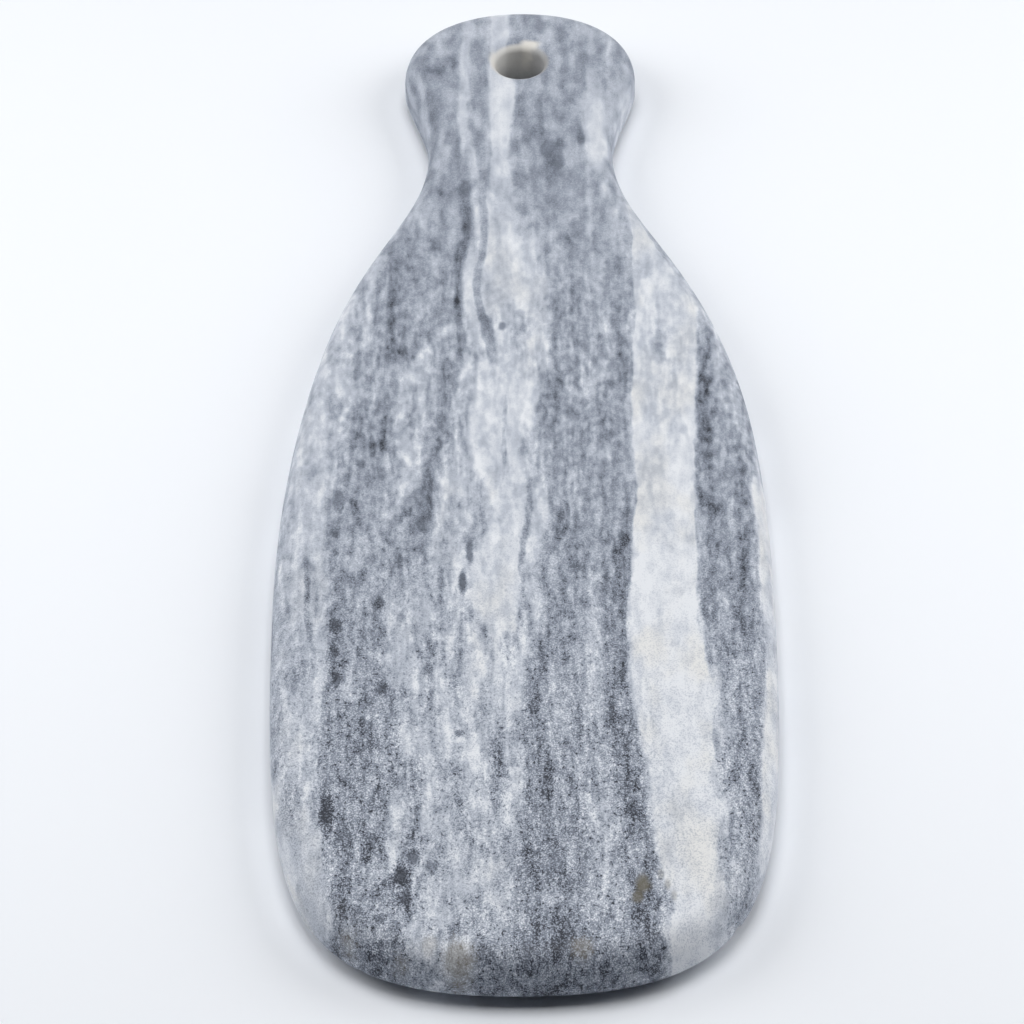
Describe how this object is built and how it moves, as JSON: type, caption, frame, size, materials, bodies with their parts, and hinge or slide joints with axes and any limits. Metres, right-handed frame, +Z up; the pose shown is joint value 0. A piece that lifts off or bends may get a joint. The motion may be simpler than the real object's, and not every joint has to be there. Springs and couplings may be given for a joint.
{
  "type": "marble serving board",
  "caption": "Paddle-shaped marble serving board with a rounded knob handle, a drilled hanging hole and rounded edges, standing on bonded rubber bumper feet.",
  "frame": {"origin": "on the ground under the middle of the board's length and width", "axes": "+Y along the board from the broad front end towards the knob, +X across the board, +Z up out of the serving face"},
  "size_m": [0.15, 0.45, 0.0183],
  "materials": {
    "marble": "honed, matt, banded grey and white",
    "foot_rubber": "moulded, matt",
    "foot_adhesive": "soft, satin"
  },
  "bodies": {
    "root": {"marble_slab": "marble", "front_left_foot": "foot_rubber", "front_right_foot": "foot_rubber", "rear_left_foot": "foot_rubber", "rear_right_foot": "foot_rubber", "front_left_adhesive": "foot_adhesive", "front_right_adhesive": "foot_adhesive", "rear_left_adhesive": "foot_adhesive", "rear_right_adhesive": "foot_adhesive"}
  },
  "joints": []
}
